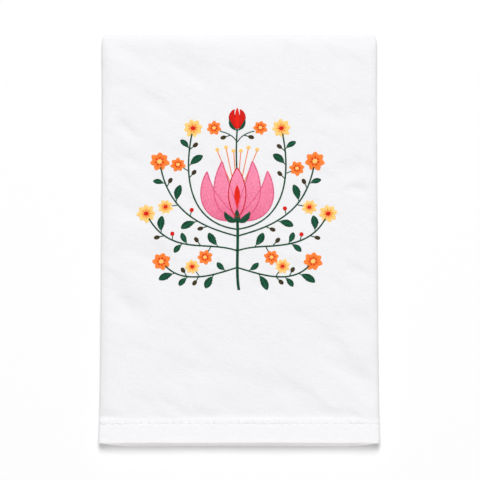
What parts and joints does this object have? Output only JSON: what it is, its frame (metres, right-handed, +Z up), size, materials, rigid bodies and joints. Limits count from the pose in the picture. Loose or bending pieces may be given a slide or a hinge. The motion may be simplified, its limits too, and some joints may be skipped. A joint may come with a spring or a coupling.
{
  "type": "tea towel",
  "caption": "White cotton tea towel, folded in thirds and then in half, with sewn hems at the near end and an embroidered flower spray on its front panel.",
  "frame": {"origin": "the middle of the underside, on the surface that the folded towel lies on", "axes": "+X across the folded towel, +Y from the sewn hems to the far fold, +Z up out of the front panel"},
  "size_m": [0.2402, 0.3668, 0.0116],
  "materials": {
    "cotton": "plain-woven white cotton, soft and matt",
    "thread_green": "dark green embroidery thread, softly shiny",
    "thread_brown": "olive brown embroidery thread, softly shiny",
    "thread_yellow": "pale yellow embroidery thread, softly shiny",
    "thread_orange": "orange embroidery thread, softly shiny",
    "thread_red": "red embroidery thread, softly shiny",
    "thread_pink": "pink embroidery thread, softly shiny",
    "thread_white": "white sewing thread, matt"
  },
  "bodies": {
    "root": {"tea_towel": "cotton"}
  },
  "joints": []
}
